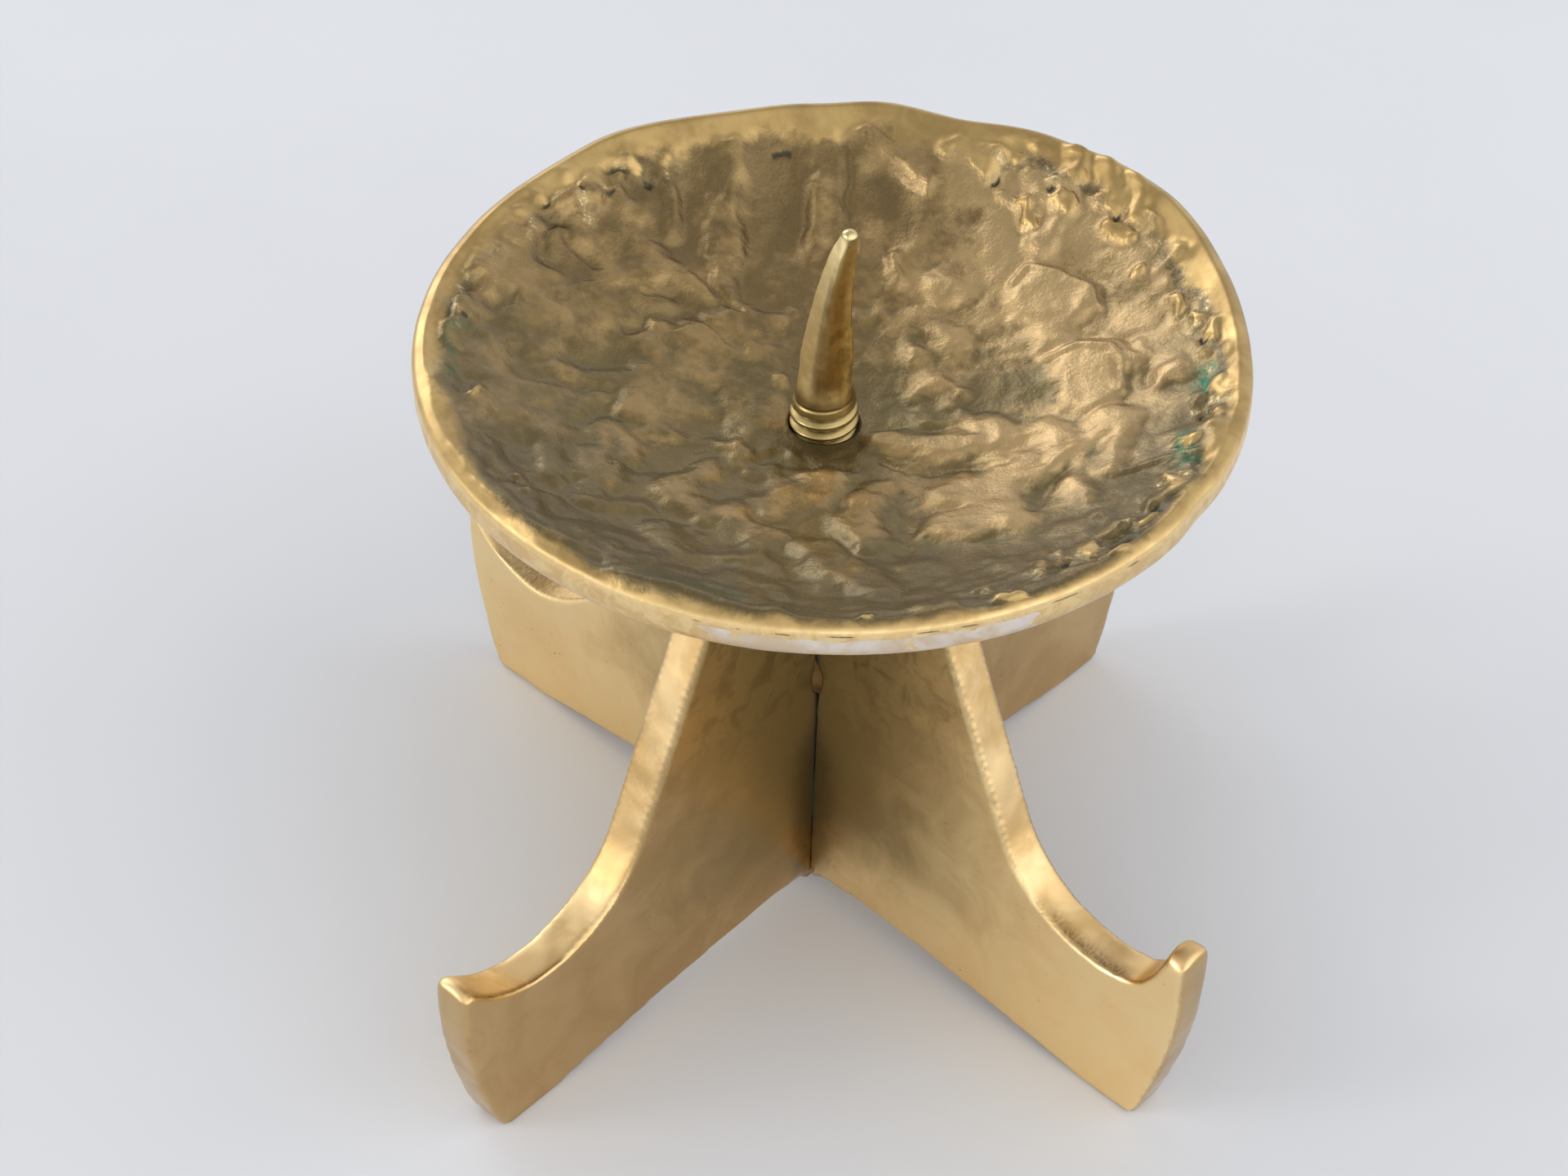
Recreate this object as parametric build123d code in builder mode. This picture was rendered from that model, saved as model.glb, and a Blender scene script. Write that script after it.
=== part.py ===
"""Pricket candle stand: a cast drip pan on two halved leg plates, with a thorn pricket screwed in."""
import os
from math import acos, atan2, cos, degrees, radians, sin

from build123d import *

# Leg plates, both cut to one outline
plate_thickness = 5.5
seat_height = 72.0
neck_half_width = 16.3
instep_height = 22.2
instep_radius = 16.8
toe_reach = 61.6
toe_height = 30.6
toe_run = 12.8
toe_round = 1.0
foot_bulge = 2.0
heel_inset = 4.4
heel_round = 1.6
foot_pad_length = 9.0
arch_rise = 3.6
edge_round = 0.6

# Halving joint of the two plates
crossing_height = 38.4
relief_diameter = 7.0
slot_clearance = 0.4

# Drip pan
pan_diameter = 95.0
pan_floor = 4.4
dish_rise = 11.8
lip_width = 2.4
lip_crown = 0.5
lip_drop = 0.5
rim_side = 3.5
rim_draft = 0.5
boss_diameter = 37.0
boss_height = 0.7
hole_chamfer = 0.7

# Pricket, filed from threaded rod
rod_diameter = 8.0
thread_clearance = 0.08
rod_depth = 14.0
rod_end_gap = 0.3
rod_above_pan = 1.6
thorn_length = 25.6
thorn_shoulder = 0.6
thorn_tip_width = 1.3
thorn_tip_round = 0.25
thorn_taper = 1.13
thorn_lean = 2.6
thorn_lean_heading = 45.0
thorn_lean_power = 3
thorn_facet_turn = 62.0
thorn_round_corner = 0.49
thorn_facet_corner = 0.27
thorn_facet_start = 0.33
thorn_sections = 7

pan_radius = pan_diameter / 2
dish_bottom = seat_height + pan_floor
hole_radius = rod_diameter / 2 + thread_clearance
hole_floor = seat_height - rod_depth
slot_width = plate_thickness + 2 * slot_clearance
through = 2 * plate_thickness


def plate_blank():
    """Make one plate with its edges eased all round, before it is slotted."""
    toe = (toe_reach, toe_height)
    heel = (toe_reach - heel_inset, 0)
    pad_end = (toe_reach - heel_inset - foot_pad_length, 0)
    neck_top = (neck_half_width, seat_height)
    low_point = (toe_reach - toe_run, instep_height)
    instep_centre = (toe_reach - toe_run, instep_height + instep_radius)
    to_neck = Vector(*neck_top) - Vector(*instep_centre)
    touch_angle = degrees(atan2(to_neck.Y, to_neck.X) + acos(instep_radius / to_neck.length))
    with BuildPart() as blank:
        with BuildSketch(Plane.XZ) as outline:
            with BuildLine():
                instep = CenterArc(instep_centre, instep_radius, touch_angle, 270 - touch_angle)
                Line(neck_top, instep @ 0)
                Line(neck_top, (0, seat_height))
                Line((0, seat_height), (0, arch_rise))
                TangentArc((0, arch_rise), pad_end, tangent=(1, 0))
                Line(pad_end, heel)
                SagittaArc(heel, toe, -foot_bulge)
                TangentArc(low_point, toe, tangent=(1, 0))
            make_face()
            fillet(outline.vertices().sort_by_distance(toe)[0], toe_round)
            fillet(outline.vertices().sort_by_distance(heel)[0], heel_round)
            mirror(about=Plane.YZ)
        extrude(amount=plate_thickness / 2, both=True)
        fillet(blank.faces().filter_by(Axis.Y).edges(), edge_round)
    return blank.part


def tapped_hole():
    """Cut the pricket's hole down the middle of a plate's neck."""
    with Locations((0, 0, hole_floor)):
        Cylinder(
            hole_radius,
            rod_depth,
            align=(Align.CENTER, Align.CENTER, Align.MIN),
            mode=Mode.SUBTRACT,
        )


with BuildPart() as leg_plate_lower:
    add(plate_blank(), rotation=(0, 0, 90))
    with Locations((0, 0, crossing_height)):
        Box(
            slot_width,
            slot_width,
            seat_height - crossing_height,
            align=(Align.CENTER, Align.CENTER, Align.MIN),
            mode=Mode.SUBTRACT,
        )
        Cylinder(relief_diameter / 2, through, rotation=(0, 90, 0), mode=Mode.SUBTRACT)
    tapped_hole()

with BuildPart() as leg_plate_upper:
    add(plate_blank())
    with Locations((0, 0, crossing_height)):
        Box(
            slot_width,
            slot_width,
            crossing_height,
            align=(Align.CENTER, Align.CENTER, Align.MAX),
            mode=Mode.SUBTRACT,
        )
        Cylinder(relief_diameter / 2, through, rotation=(90, 0, 0), mode=Mode.SUBTRACT)
    tapped_hole()

with BuildPart() as drip_pan:
    with BuildSketch(Plane.XZ):
        with BuildLine():
            lip_foot = dish_bottom + dish_rise
            lip_in = (pan_radius - lip_width, lip_foot)
            lip_top = (pan_radius - lip_width / 2, lip_foot + lip_crown)
            lip_out = (pan_radius, lip_foot - lip_drop)
            rim_foot = (pan_radius - rim_draft, lip_foot - lip_drop - rim_side)
            TangentArc((0, dish_bottom), lip_in, tangent=(1, 0))
            ThreePointArc(lip_in, lip_top, lip_out)
            Line(lip_out, rim_foot)
            TangentArc((0, seat_height + boss_height), rim_foot, tangent=(1, 0))
            Line((0, seat_height + boss_height), (0, dish_bottom))
        make_face()
    revolve(axis=Axis.Z)
    with Locations((0, 0, seat_height)):
        Cylinder(
            boss_diameter / 2,
            pan_floor,
            align=(Align.CENTER, Align.CENTER, Align.MIN),
        )
    with Locations((0, 0, dish_bottom)):
        CounterSinkHole(hole_radius, hole_radius + hole_chamfer, counter_sink_angle=90)

with BuildPart() as pricket:
    thorn_base = dish_bottom + rod_above_pan
    rod_end = hole_floor + rod_end_gap
    with Locations((0, 0, rod_end)):
        Cylinder(
            rod_diameter / 2,
            thorn_base - rod_end,
            align=(Align.CENTER, Align.CENTER, Align.MIN),
        )
    base_width = rod_diameter - 2 * thorn_shoulder
    for section in range(thorn_sections):
        share = section / (thorn_sections - 1)
        width = thorn_tip_width + (base_width - thorn_tip_width) * (1 - share) ** thorn_taper
        facet_share = min(1, share / thorn_facet_start)
        corner_share = thorn_round_corner + (thorn_facet_corner - thorn_round_corner) * facet_share
        shift = thorn_lean * share**thorn_lean_power
        centre = (
            shift * cos(radians(thorn_lean_heading)),
            shift * sin(radians(thorn_lean_heading)),
            thorn_base + thorn_length * share,
        )
        with BuildSketch(Plane(centre)):
            RectangleRounded(width, width, width * corner_share, rotation=thorn_facet_turn)
    loft()
    fillet(pricket.faces().sort_by(Axis.Z)[-1].edges(), thorn_tip_round)

os.makedirs("parts", exist_ok=True)
leg_plate_lower.part.label = "leg_plate_lower"
leg_plate_upper.part.label = "leg_plate_upper"
drip_pan.part.label = "drip_pan"
pricket.part.label = "pricket"
export_step(leg_plate_lower.part, "parts/leg_plate_lower.step")
export_step(leg_plate_upper.part, "parts/leg_plate_upper.step")
export_step(drip_pan.part, "parts/drip_pan.step")
export_step(pricket.part, "parts/pricket.step")
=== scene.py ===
"""Looks of the pricket candle stand: a cast drip pan, a filed pricket and two worn leg plates."""
from itertools import product
from math import cos, pi, radians, sin, tau
from types import SimpleNamespace

import bpy
import numpy as np
from mathutils import Matrix, Vector


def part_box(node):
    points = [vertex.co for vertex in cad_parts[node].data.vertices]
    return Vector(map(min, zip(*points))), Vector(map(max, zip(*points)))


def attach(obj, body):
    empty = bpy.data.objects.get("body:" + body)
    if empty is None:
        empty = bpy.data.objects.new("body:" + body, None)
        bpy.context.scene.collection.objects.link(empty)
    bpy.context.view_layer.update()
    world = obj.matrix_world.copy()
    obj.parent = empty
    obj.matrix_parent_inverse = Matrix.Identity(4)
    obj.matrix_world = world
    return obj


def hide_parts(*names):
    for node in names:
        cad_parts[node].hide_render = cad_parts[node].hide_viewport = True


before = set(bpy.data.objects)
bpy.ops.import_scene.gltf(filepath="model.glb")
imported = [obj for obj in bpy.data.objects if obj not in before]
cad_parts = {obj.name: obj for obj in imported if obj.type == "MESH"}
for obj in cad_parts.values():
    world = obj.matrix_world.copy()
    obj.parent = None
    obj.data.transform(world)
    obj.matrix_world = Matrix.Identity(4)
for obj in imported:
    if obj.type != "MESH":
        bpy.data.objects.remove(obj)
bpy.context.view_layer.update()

MM = 0.001

# Random values along each side of the block that noise repeats
NOISE_CELLS = 48

# The pan's own axes: u runs to the right and v away from the viewer, turned about Z from the frame's X
PAN_TURN = radians(42.246)

# Pan, in millimetres, on the solid's own profile
PAN_RADIUS = 47.2
SEAT = 72.0
DISH_BOTTOM = 76.4
DISH_CURVE = 92.1
BORE = 4.06
BORE_EASE = 0.15
MOUTH = BORE + BORE_EASE
LIP_CREST = 88.7
LIP_ROUND = 1.5
LIP_OUT = 87.3
CREST_RADIUS = PAN_RADIUS - LIP_ROUND
RIM_FOOT = 84.3
RIM_FOOT_RADIUS = 46.7
SIDE_SWELL = 0.08
UNDER_MIDDLE = 72.7
BOSS_RADIUS = 18.5
BOSS_FLARE = 0.6
BOSS_EASE = 0.3

# The pan's mesh: points round it, and rings over each stretch of its profile
PAN_SPOKES = 640
DISH_RINGS = 116
LIP_RINGS = 10
SIDE_RINGS = 12
UNDER_RINGS = 36
BOSS_SIDE_RINGS = 4
BOSS_RINGS = 16
BORE_RINGS = 7

# Radii within which the pan is still round, and its dish even
ROUND_WITHIN = 12
EVEN_WITHIN = 34

# Lip, in millimetres: its width at the sides and at least, what its width and crest gain at the back and
# where it is swollen, and the heading and spread of that in degrees
LIP_WIDTH = 2.7
LIP_LEAST = 1.2
LIP_BACK = 1.7
LIP_SWELL = 0.5
CREST_BACK = 0.25
CREST_SWELL = 0.7
SWELL_HEADING = 40
SWELL_SPREAD = 24

# Outline of the pan: waves of (count, swing, heading) and dents of (heading, swing, spread)
OUTLINE_WAVES = ((1, 0.65, 5),)
OUTLINE_DENTS = (
    (38, 2.6, 22),
    (58, 0.4, 6),
    (70, -0.5, 5),
    (82, 1.0, 6),
    (104, -0.35, 7),
    (124, 1.0, 9),
    (-32, -0.3, 4),
)

# Relief of the dish, read from the photograph. A pad is (half width, points along it) and every
# other form is (height, half width, points along it)
PADS = (
    (3.3, (-0.5, -12), (-3, -14.5), (-5, -18)),
    (2.4, (-13, -11.5), (-14.5, -15), (-16, -18.5)),
    (3.0, (-23.5, -8), (-23, -12), (-24, -16.5)),
    (2.0, (-30, -9.5), (-31, -13.5), (-29, -18)),
    (2.2, (-10.5, -21.5), (-5.5, -24.5), (-8, -29.5)),
    (3.0, (-1, -27), (2.5, -33), (5, -36)),
    (2.0, (-17, -26), (-16, -30.5)),
    (1.8, (-20, -21.5), (-24.5, -22.5)),
    (1.3, (-10.5, -5.5), (-8.8, -7.2)),
    (2.6, (7.5, -4.5), (13, -5.5), (18.5, -5.5), (18.5, -3)),
    (3.8, (15.5, -15.5), (18.5, -16), (18.5, -21), (15, -22.5)),
    (2.6, (5, -16.5), (4, -20.5), (5.5, -25)),
    (1.3, (20.5, -13.5), (24.5, -13), (28, -9.5)),
    (1.4, (27.5, -16.5), (28.5, -19.5)),
    (1.6, (31.5, -5), (33, -9), (31, -15)),
    (1.6, (25, -4.5), (27, -7)),
    (4.4, (25.8, 17.2), (27.5, 16)),
    (4.0, (29.5, 4.5), (30, 0)),
    (2.4, (14, 21), (13.6, 19.5)),
    (1.8, (13.8, 13.5), (15.2, 12)),
    (1.7, (10, 10.5), (9.6, 9)),
    (1.4, (8, 26), (8.2, 22.5)),
    (3.2, (-17.5, 9.5), (-15.5, 10.5)),
    (3.0, (-33, 10), (-29, 8.5), (-26.5, 11.5)),
    (1.3, (-9, 11.5), (-9.2, 6.5), (-9.3, 1.5)),
    (1.6, (-21.5, 4), (-26, 1.5), (-31, 0.5)),
    (1.8, (-29.5, 14), (-25, 18), (-19.5, 20.5), (-15, 18.5)),
    (1.9, (-30.5, 26),),
    (1.5, (-26, -2), (-28, -6)),
    (1.6, (-20, -1), (-18, -5)),
)
RIDGES = (
    (0.30, 0.8, (32.5, -16.2), (37, -16), (40, -17)),
    (0.30, 0.9, (22, 20), (24, 22.6), (28, 20.5), (31, 17.3), (31.6, 14)),
    (0.30, 0.9, (25.5, 7.5), (29, 8), (32.5, 6), (34.3, 3), (34, -1)),
    (0.60, 2.4, (-12.3, 42.5), (-12.2, 34), (-12.4, 26), (-11.5, 20)),
    (0.45, 2.2, (-0.8, 36), (-2.2, 26.5)),
    (0.55, 1.8, (-18.8, 33.5), (-18.2, 28)),
    (0.55, 2.0, (5, 42), (8.5, 39.5), (12, 36)),
    (0.35, 1.0, (21, 33), (24, 31)),
)
GROOVES = (
    (0.30, 1.4, (-23, 10.5), (-21, 13.8), (-17, 14.6), (-12.5, 14), (-9.5, 11)),
    (0.35, 1.2, (-32, 24), (-29.5, 21.5), (-27.5, 20)),
    (0.35, 1.0, (2.6, 42), (2.5, 35), (2.7, 28)),
    (0.25, 1.0, (33.2, 13), (32.8, 18), (30.5, 21.5), (26, 23.8)),
    (0.25, 1.0, (37, -1), (36.8, 4), (34.5, 8), (30, 9.8)),
    (0.25, 1.2, (7, -8.5), (13, -9.5), (20, -11)),
    (0.25, 1.3, (9.5, -14), (10, -22), (9, -28)),
    (0.30, 1.3, (22.5, -20), (27, -13.5)),
    (0.30, 0.8, (-21, 17.2), (-18.5, 17)),
    (0.30, 0.8, (-12, 18.5), (-10.5, 17.6)),
    (0.35, 1.6, (-37, 10), (-39.5, 4), (-41, -3), (-41, -8)),
    (0.20, 1.3, (-8, -8), (-4, -8), (2, -9)),
    (0.80, 6.0, (-6, 37), (-6, 28)),
    (0.70, 5.0, (7.5, 36), (7, 29)),
    (0.60, 5.0, (-17, 33), (-17, 27)),
    (0.30, 2.5, (16, 31), (18, 31)),
)
NODULES = (
    (1.0, 1.6, (30, 37), (30.2, 33)),
    (1.0, 1.9, (34, 36), (34.5, 29)),
    (1.0, 1.5, (37.3, 31), (36.6, 26)),
    (0.9, 1.3, (27.3, 31), (29, 29.5)),
    (0.9, 1.3, (32.8, 26.5), (35.8, 23.2)),
    (0.8, 1.0, (23.8, 31), (25, 28.5)),
    (0.6, 1.2, (20, 39), (23, 36.5)),
    (0.6, 1.6, (14.5, 40), (18, 39), (19.5, 36.5)),
    (0.9, 1.2, (37, 17.2),),
    (1.0, 1.3, (40.3, 12), (40.8, 10)),
    (0.9, 1.1, (42.3, 7.6),),
    (0.8, 1.0, (44.2, 6), (43.8, 3.8)),
    (0.7, 0.9, (42.8, 1.5),),
    (0.8, 1.0, (43.6, -4), (44.2, -7)),
    (0.8, 1.1, (42.5, -10.5),),
    (0.7, 1.0, (41.7, -13),),
    (0.9, 1.2, (39.8, -14.5),),
    (0.9, 1.0, (36.6, -20), (37.8, -22.5)),
    (0.8, 1.0, (27.6, -31), (27.7, -34)),
    (0.6, 0.7, (30, -34.2), (31.5, -33.4)),
    (0.6, 0.8, (33.5, -28.5), (35, -27.5)),
    (0.7, 0.9, (17.5, -41.3), (20, -41)),
    (0.6, 0.8, (4, -44.6), (5.5, -44.4)),
    (0.5, 0.7, (22, -37), (22.2, -33)),
    (0.5, 0.7, (24, -36), (24, -31)),
    (0.5, 1.2, (-40.5, 14.5),),
    (0.6, 0.9, (-38.7, -9.2), (-38.2, -8)),
    (0.5, 1.0, (-33, -21.5),),
    (0.5, 1.0, (-31.5, -26.5),),
    (0.6, 1.4, (-28, 31),),
    (0.6, 1.6, (-31, 30),),
    (0.7, 1.8, (-24, 35),),
    (0.6, 1.5, (-20, 37),),
    (0.5, 1.3, (-34.5, 27),),
    (0.5, 1.2, (-36, 23.5),),
)
PITS = (
    (0.5, 1.0, (26.3, 32.4),),
    (0.6, 1.0, (34, 27.2),),
    (0.5, 0.9, (20.5, 34.8),),
    (0.35, 0.7, (5, 41.8),),
    (0.35, 0.6, (-7, 40.3), (-5, 40.6)),
    (0.6, 1.0, (-33.5, 25.8),),
    (0.5, 0.8, (-30, 28.6),),
    (0.5, 0.9, (-26.5, 30),),
    (0.5, 0.9, (-22, 33.5),),
    (0.6, 0.9, (25, -35), (26, -36)),
    (0.6, 0.9, (32.5, -31),),
    (0.6, 0.8, (35.3, -26.5),),
    (0.6, 1.0, (41.5, -9.5),),
    (0.6, 0.9, (39, -15),),
    (0.5, 0.8, (43, 3.5),),
    (0.5, 0.8, (-33.5, -22.7),),
    (0.5, 0.8, (-41.5, 4),),
    (0.4, 0.7, (-23, -14.2),),
)
VERDIGRIS = (
    (1.0, 2.0, (42.7, -1.5), (42.4, -4.5)),
    (0.9, 2.0, (39.6, -13), (39.2, -18)),
    (0.5, 1.2, (44, -7.5),),
    (0.35, 1.2, (-41.4, 2), (-41.8, -6)),
    (0.4, 1.0, (-40.6, 7),),
    (0.4, 1.2, (-26.8, -29.5), (-25.8, -28)),
    (0.35, 2.0, (-18, -39), (-10, -42)),
)

# How closely pads and lumps merge, and how ridges, grooves and nodules are scaled from their tables
PAD_MERGE = 1.6
RIDGE_SCALE = 1.7
GROOVE_SCALE = 1.3
NODULE_WIDEN = 1.3

# Heights of the relief that is in no table, in millimetres
PAD_HEIGHT = 0.9
PAD_RIM_SINK = 0.03
PEBBLE_HEIGHT = 0.5
WORM_HEIGHT = 0.1
STREAK_HEIGHT = 0.2
SWAY_HEIGHT = 0.15
KNOB_HEIGHT = 0.8
CRUST_SINK = 0.3
LIP_RAISE = 0.15
CHIP_DEPTH = 0.06
UNDER_ROUGHNESS = 0.12

# A painted shadow of the pricket: a dark band along these points, to its right, where its shadow falls
PAINTED_SHADOW = ((4, 0), (16, 2), (26, 4))
PAINTED_SHADOW_WIDTH = 3.2

# Crusty belts below the lip: heading and half spread in degrees, nearest and farthest from the outline
CRUSTS = (
    (24, 40, 2.6, 7.0),
    (-38, 16, 2.0, 6.5),
    (133, 16, 4.5, 9.0),
    (-62, 8, 3.0, 6.0),
    (172, 14, 3.0, 5.5),
)

# Arcs of the rim in degrees: where each starts to show, shows in full, starts to fade and is gone
NICKED_ARC = (236, 256, 322, 332)
# The pale arc is painted partly as its own worn metal, partly as a painted reflection of the pale table
PALE_ARC = (251, 257, 297, 299)

# Pricket, in millimetres, with headings in degrees in the pan's axes
ROD_END = 58.3
ROD_CHAMFER = 0.7
ROD_RADIUS = 3.98
THREAD_ROOT = 3.15
THREAD_PITCH = 1.5
THORN_BASE = 78.0
THORN_TIP = 103.55
THORN_TIP_WIDTH = 1.75
THORN_BASE_WIDTH = 6.34
THORN_SHOULDER = 7
THREAD_END = 82.4
THORN_LEAN = 2.3
THORN_FACETS = ((208, 0.95), (298, 1.0), (28, 0.98), (118, 0.97))
THORN_CORNER = 9
# Headings of the flat painted darker, as painted shade, and of the flat painted brighter, as painted
# light
THORN_DARK = 278
THORN_LIT = 205
TIP_ROUND = 0.75
TIP_TURNS = (15, 30, 45, 60, 75, 84)
ROD_SPOKES = 120
THREAD_STEP = 0.1
THORN_RINGS = 90

# Leg plates, in millimetres; each is known by the axis across it
LOWER = 0
UPPER = 1
PLATE_VOXEL = 0.45
PLATE_HALF = 2.75
ARCH_TOP = 6.0
TOE_ENDS = (54, 58)
TOE_TOP = (26, 29.5)
TOE_PASSES = 18
TOE_CURL = 3.3
TOE_FULLER = 1.3
TOE_SHORTER = 1.2
TOE_THINNER = 1.6
TOE_DOMES = (0.9, 1.5)
INSTEP_DIP = 2.4
DIP_PLACE = -50
SLOT_WALL = 3.6
JOINT_GAP = 0.38
HOLLOW_DEPTH = 0.05
NICK_DEPTH = 0.08
FILED_DEPTH = 0.09
SOLDER_DROP = 1.5
SOLDER_SPREAD = 1.3
SOLDER_FILM = 0.5

# Room light: an even level, and glows of (heading, height, spread, gain), the last one a darker ceiling
ROOM_COLOUR = (0.96, 0.975, 1.0, 1.0)
ROOM_LEVEL = 1.05
ROOM_GLOWS = ((125, 24, 24, 2.5), (200, 12, 45, 0.8), (-40, 30, 70, 1.05), (0, 90, 75, -0.5))

# Window: its heading and height in degrees, its distance and size in metres, its power in watts
WINDOW_PLACE = (192, 24)
WINDOW_DISTANCE = 6.0
WINDOW_SIZE = 1.6
WINDOW_POWER = 54.0
WINDOW_COLOUR = (1.0, 0.98, 0.95)


def noise(points, scale, seed):
    """Give smooth noise from -1 to 1, with lumps about one scale across, at points in millimetres."""
    lattice = np.random.default_rng(seed).uniform(-1, 1, (NOISE_CELLS, NOISE_CELLS, NOISE_CELLS))
    place = np.asarray(points, float) / scale
    cell = np.floor(place).astype(int)
    part = place - cell
    part = part * part * part * (part * (part * 6 - 15) + 10)
    total = np.zeros(len(place))
    for corner in product((0, 1), repeat=3):
        weight = np.prod(np.where(corner, part, 1 - part), axis=1)
        i, j, k = ((cell + corner) % NOISE_CELLS).T
        total += weight * lattice[i, j, k]
    return total


def fractal(points, scale, seed, octaves, gain=0.5):
    """Add up octaves of noise, each half as coarse as the one before and weaker by the gain."""
    total = np.zeros(len(points))
    swing = 1.0
    for octave in range(octaves):
        total += swing * noise(points, scale / 2**octave, seed + octave)
        swing *= gain
    return total


def smooth(value, low, high):
    """Ease from 0 at the low value to 1 at the high one."""
    share = np.clip((value - low) / (high - low), 0, 1)
    return share * share * (3 - 2 * share)


def hump(value, middle, spread):
    """Give 1 at the middle, falling off to both sides."""
    return np.exp(-(((value - middle) / spread) ** 2))


def arc(heading, rise_from, rise_to, fall_from, fall_to):
    """Give 1 along an arc between headings in degrees, easing in and out."""
    begun = smooth(heading, radians(rise_from), radians(rise_to))
    return begun * (1 - smooth(heading, radians(fall_from), radians(fall_to)))


def line_distance(uv, points):
    """Give the distance from each place to a line through the points, or to a single point."""
    best = np.hypot(*(uv - np.array(points[0])).T)
    for start, end in zip(points, points[1:]):
        start = np.array(start, float)
        along = np.array(end, float) - start
        share = np.clip(((uv - start) @ along) / (along @ along), 0, 1)
        best = np.minimum(best, np.hypot(*(uv - start - share[:, None] * along).T))
    return best


def highest(uv, forms, widen=1.0):
    """Give the tallest of the round forms at each place."""
    top = np.zeros(len(uv))
    for height, width, *points in forms:
        away = line_distance(uv, points) / (widen * width)
        top = np.maximum(top, height * np.clip(1 - away * away, 0, 1) ** 2)
    return top


def depth_inside(uv, forms):
    """Give how far inside the nearest form's border each place lies, below zero outside."""
    return np.max([width - line_distance(uv, points) for width, *points in forms], axis=0)


def new_piece(name, vertices, faces, material, body, slot, *nodes):
    """Make a smooth mesh from points in millimetres and let it stand in for nodes of the solid."""
    mesh = bpy.data.meshes.new(name)
    mesh.from_pydata((np.asarray(vertices) * MM).tolist(), [], faces)
    mesh.validate()
    mesh.polygons.foreach_set("use_smooth", [True] * len(mesh.polygons))
    mesh.update()
    piece = bpy.data.objects.new(name, mesh)
    bpy.context.scene.collection.objects.link(piece)
    mesh.materials.append(material)
    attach(piece, body)
    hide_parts(*nodes)
    return piece


def add_values(piece, values):
    """Keep a named value per point of a piece, for its material to read."""
    for name, amounts in values.items():
        attribute = piece.data.attributes.new(name, "FLOAT", "POINT")
        attribute.data.foreach_set("value", np.asarray(amounts, np.float32))


def ring_faces(rings, spokes, closed):
    """Join rings of points into quads; a closed run also joins the last ring to the first."""
    faces = []
    for ring in range(rings if closed else rings - 1):
        here = ring * spokes
        there = (ring + 1) % rings * spokes
        for spoke in range(spokes):
            after = (spoke + 1) % spokes
            faces.append((here + spoke, here + after, there + after, there + spoke))
    return faces


def linear(red, green, blue):
    """Turn a screen colour from 0 to 255 into the linear one that a shader takes."""
    shares = [value / 255 for value in (red, green, blue)]
    return tuple(s / 12.92 if s <= 0.04045 else ((s + 0.055) / 1.055) ** 2.4 for s in shares) + (1.0,)


class Nodes:
    """A material's node tree, with short ways to add what it needs."""

    def __init__(self, name):
        self.material = bpy.data.materials.new(name)
        self.material.use_nodes = True
        self.tree = self.material.node_tree
        self.shader = self.tree.nodes["Principled BSDF"]
        self.place = self.add("ShaderNodeTexCoord").outputs["Object"]

    def add(self, kind, **settings):
        node = self.tree.nodes.new(kind)
        for key, value in settings.items():
            setattr(node, key, value)
        return node

    def put(self, socket, value):
        if isinstance(value, bpy.types.NodeSocket):
            self.tree.links.new(value, socket)
        else:
            socket.default_value = value

    def noise(self, size_mm, detail, rough, warp=0.0, stretch=None):
        node = self.add("ShaderNodeTexNoise")
        place = self.place
        if stretch:
            mapping = self.add("ShaderNodeMapping")
            self.put(mapping.inputs["Vector"], place)
            mapping.inputs["Scale"].default_value = stretch
            place = mapping.outputs["Vector"]
        self.put(node.inputs["Vector"], place)
        node.inputs["Scale"].default_value = 1 / (size_mm * MM)
        node.inputs["Detail"].default_value = detail
        node.inputs["Roughness"].default_value = rough
        node.inputs["Distortion"].default_value = warp
        return node.outputs["Fac"]

    def value(self, name):
        return self.add("ShaderNodeAttribute", attribute_name=name).outputs["Fac"]

    def math(self, operation, first, second):
        node = self.add("ShaderNodeMath", operation=operation)
        self.put(node.inputs[0], first)
        self.put(node.inputs[1], second)
        return node.outputs[0]

    def times(self, first, second):
        return self.math("MULTIPLY", first, second)

    def ruffled(self, value, pattern, gain):
        """Move a value up and down by a noise pattern."""
        return self.math("ADD", value, self.times(self.math("SUBTRACT", pattern, 0.5), gain))

    def remap(self, value, low, high, to_low=0.0, to_high=1.0):
        node = self.add("ShaderNodeMapRange", interpolation_type="SMOOTHSTEP")
        for socket, amount in zip(node.inputs, (value, low, high, to_low, to_high)):
            self.put(socket, amount)
        return node.outputs[0]

    def mix(self, share, first, second):
        """Mix two colours."""
        node = self.add("ShaderNodeMix", data_type="RGBA")
        self.put(node.inputs["Factor"], share)
        self.put(node.inputs[6], first)
        self.put(node.inputs[7], second)
        return node.outputs[2]

    def blend(self, share, first, second):
        """Mix two numbers."""
        node = self.add("ShaderNodeMix", data_type="FLOAT")
        self.put(node.inputs["Factor"], share)
        self.put(node.inputs[2], first)
        self.put(node.inputs[3], second)
        return node.outputs[0]

    def bump(self, height, depth_mm, strength):
        node = self.add("ShaderNodeBump")
        node.inputs["Distance"].default_value = depth_mm * MM
        node.inputs["Strength"].default_value = strength
        self.put(node.inputs["Height"], height)
        self.put(self.shader.inputs["Normal"], node.outputs[0])

    def finish(self, colour, roughness, metallic):
        self.put(self.shader.inputs["Base Color"], colour)
        self.put(self.shader.inputs["Roughness"], roughness)
        self.put(self.shader.inputs["Metallic"], metallic)
        return self.material


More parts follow.
